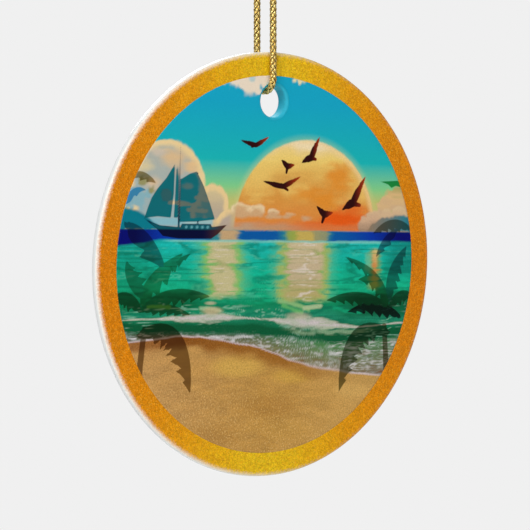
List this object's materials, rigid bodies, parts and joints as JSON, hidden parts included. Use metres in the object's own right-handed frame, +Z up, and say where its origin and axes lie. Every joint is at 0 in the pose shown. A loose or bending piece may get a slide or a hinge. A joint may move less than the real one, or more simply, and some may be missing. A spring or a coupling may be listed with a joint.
{
  "type": "hanging christmas ornament",
  "caption": "Flat round porcelain ornament with a printed seaside picture in a gold border, hung on a knotted loop of gold cord.",
  "frame": {"origin": "where a hook bears inside the top of the cord's loop", "axes": "+Z up along the hanging cord; -Y out of the disc's front face; +X to the right as the front face is seen"},
  "size_m": [0.0736, 0.0056, 0.1405],
  "materials": {
    "porcelain": "gloss",
    "picture_print": "gloss",
    "border_print": "gloss",
    "gold_cord": "metallic thread"
  },
  "bodies": {
    "hanger": {"cord_knot": "gold_cord", "cord_front_tail": "gold_cord", "cord_rear_tail": "gold_cord"},
    "strands": {"cord_front_strand": "gold_cord", "cord_rear_strand": "gold_cord"},
    "loop": {"cord_lower_loop": "gold_cord"},
    "disc": {"porcelain_disc": "porcelain", "front_picture_print": "picture_print", "front_border_print": "border_print", "back_picture_print": "picture_print", "back_border_print": "border_print"}
  },
  "joints": [
    {"name": "swing", "type": "hinge", "parent": "hanger", "child": "strands", "pos_m": [0, 0, 0], "axis": [1, 0, 0], "range_deg": [-40, 40]},
    {"name": "twirl", "type": "hinge", "parent": "strands", "child": "loop", "pos_m": [0, 0, -0.034], "axis": [0, 0, 1], "range_deg": [-180, 180], "stiffness_Nm_per_rad": 0.00002},
    {"name": "rock", "type": "hinge", "parent": "loop", "child": "disc", "pos_m": [0, 0, -0.06], "axis": [0, 1, 0], "range_deg": [-30, 30]}
  ]
}
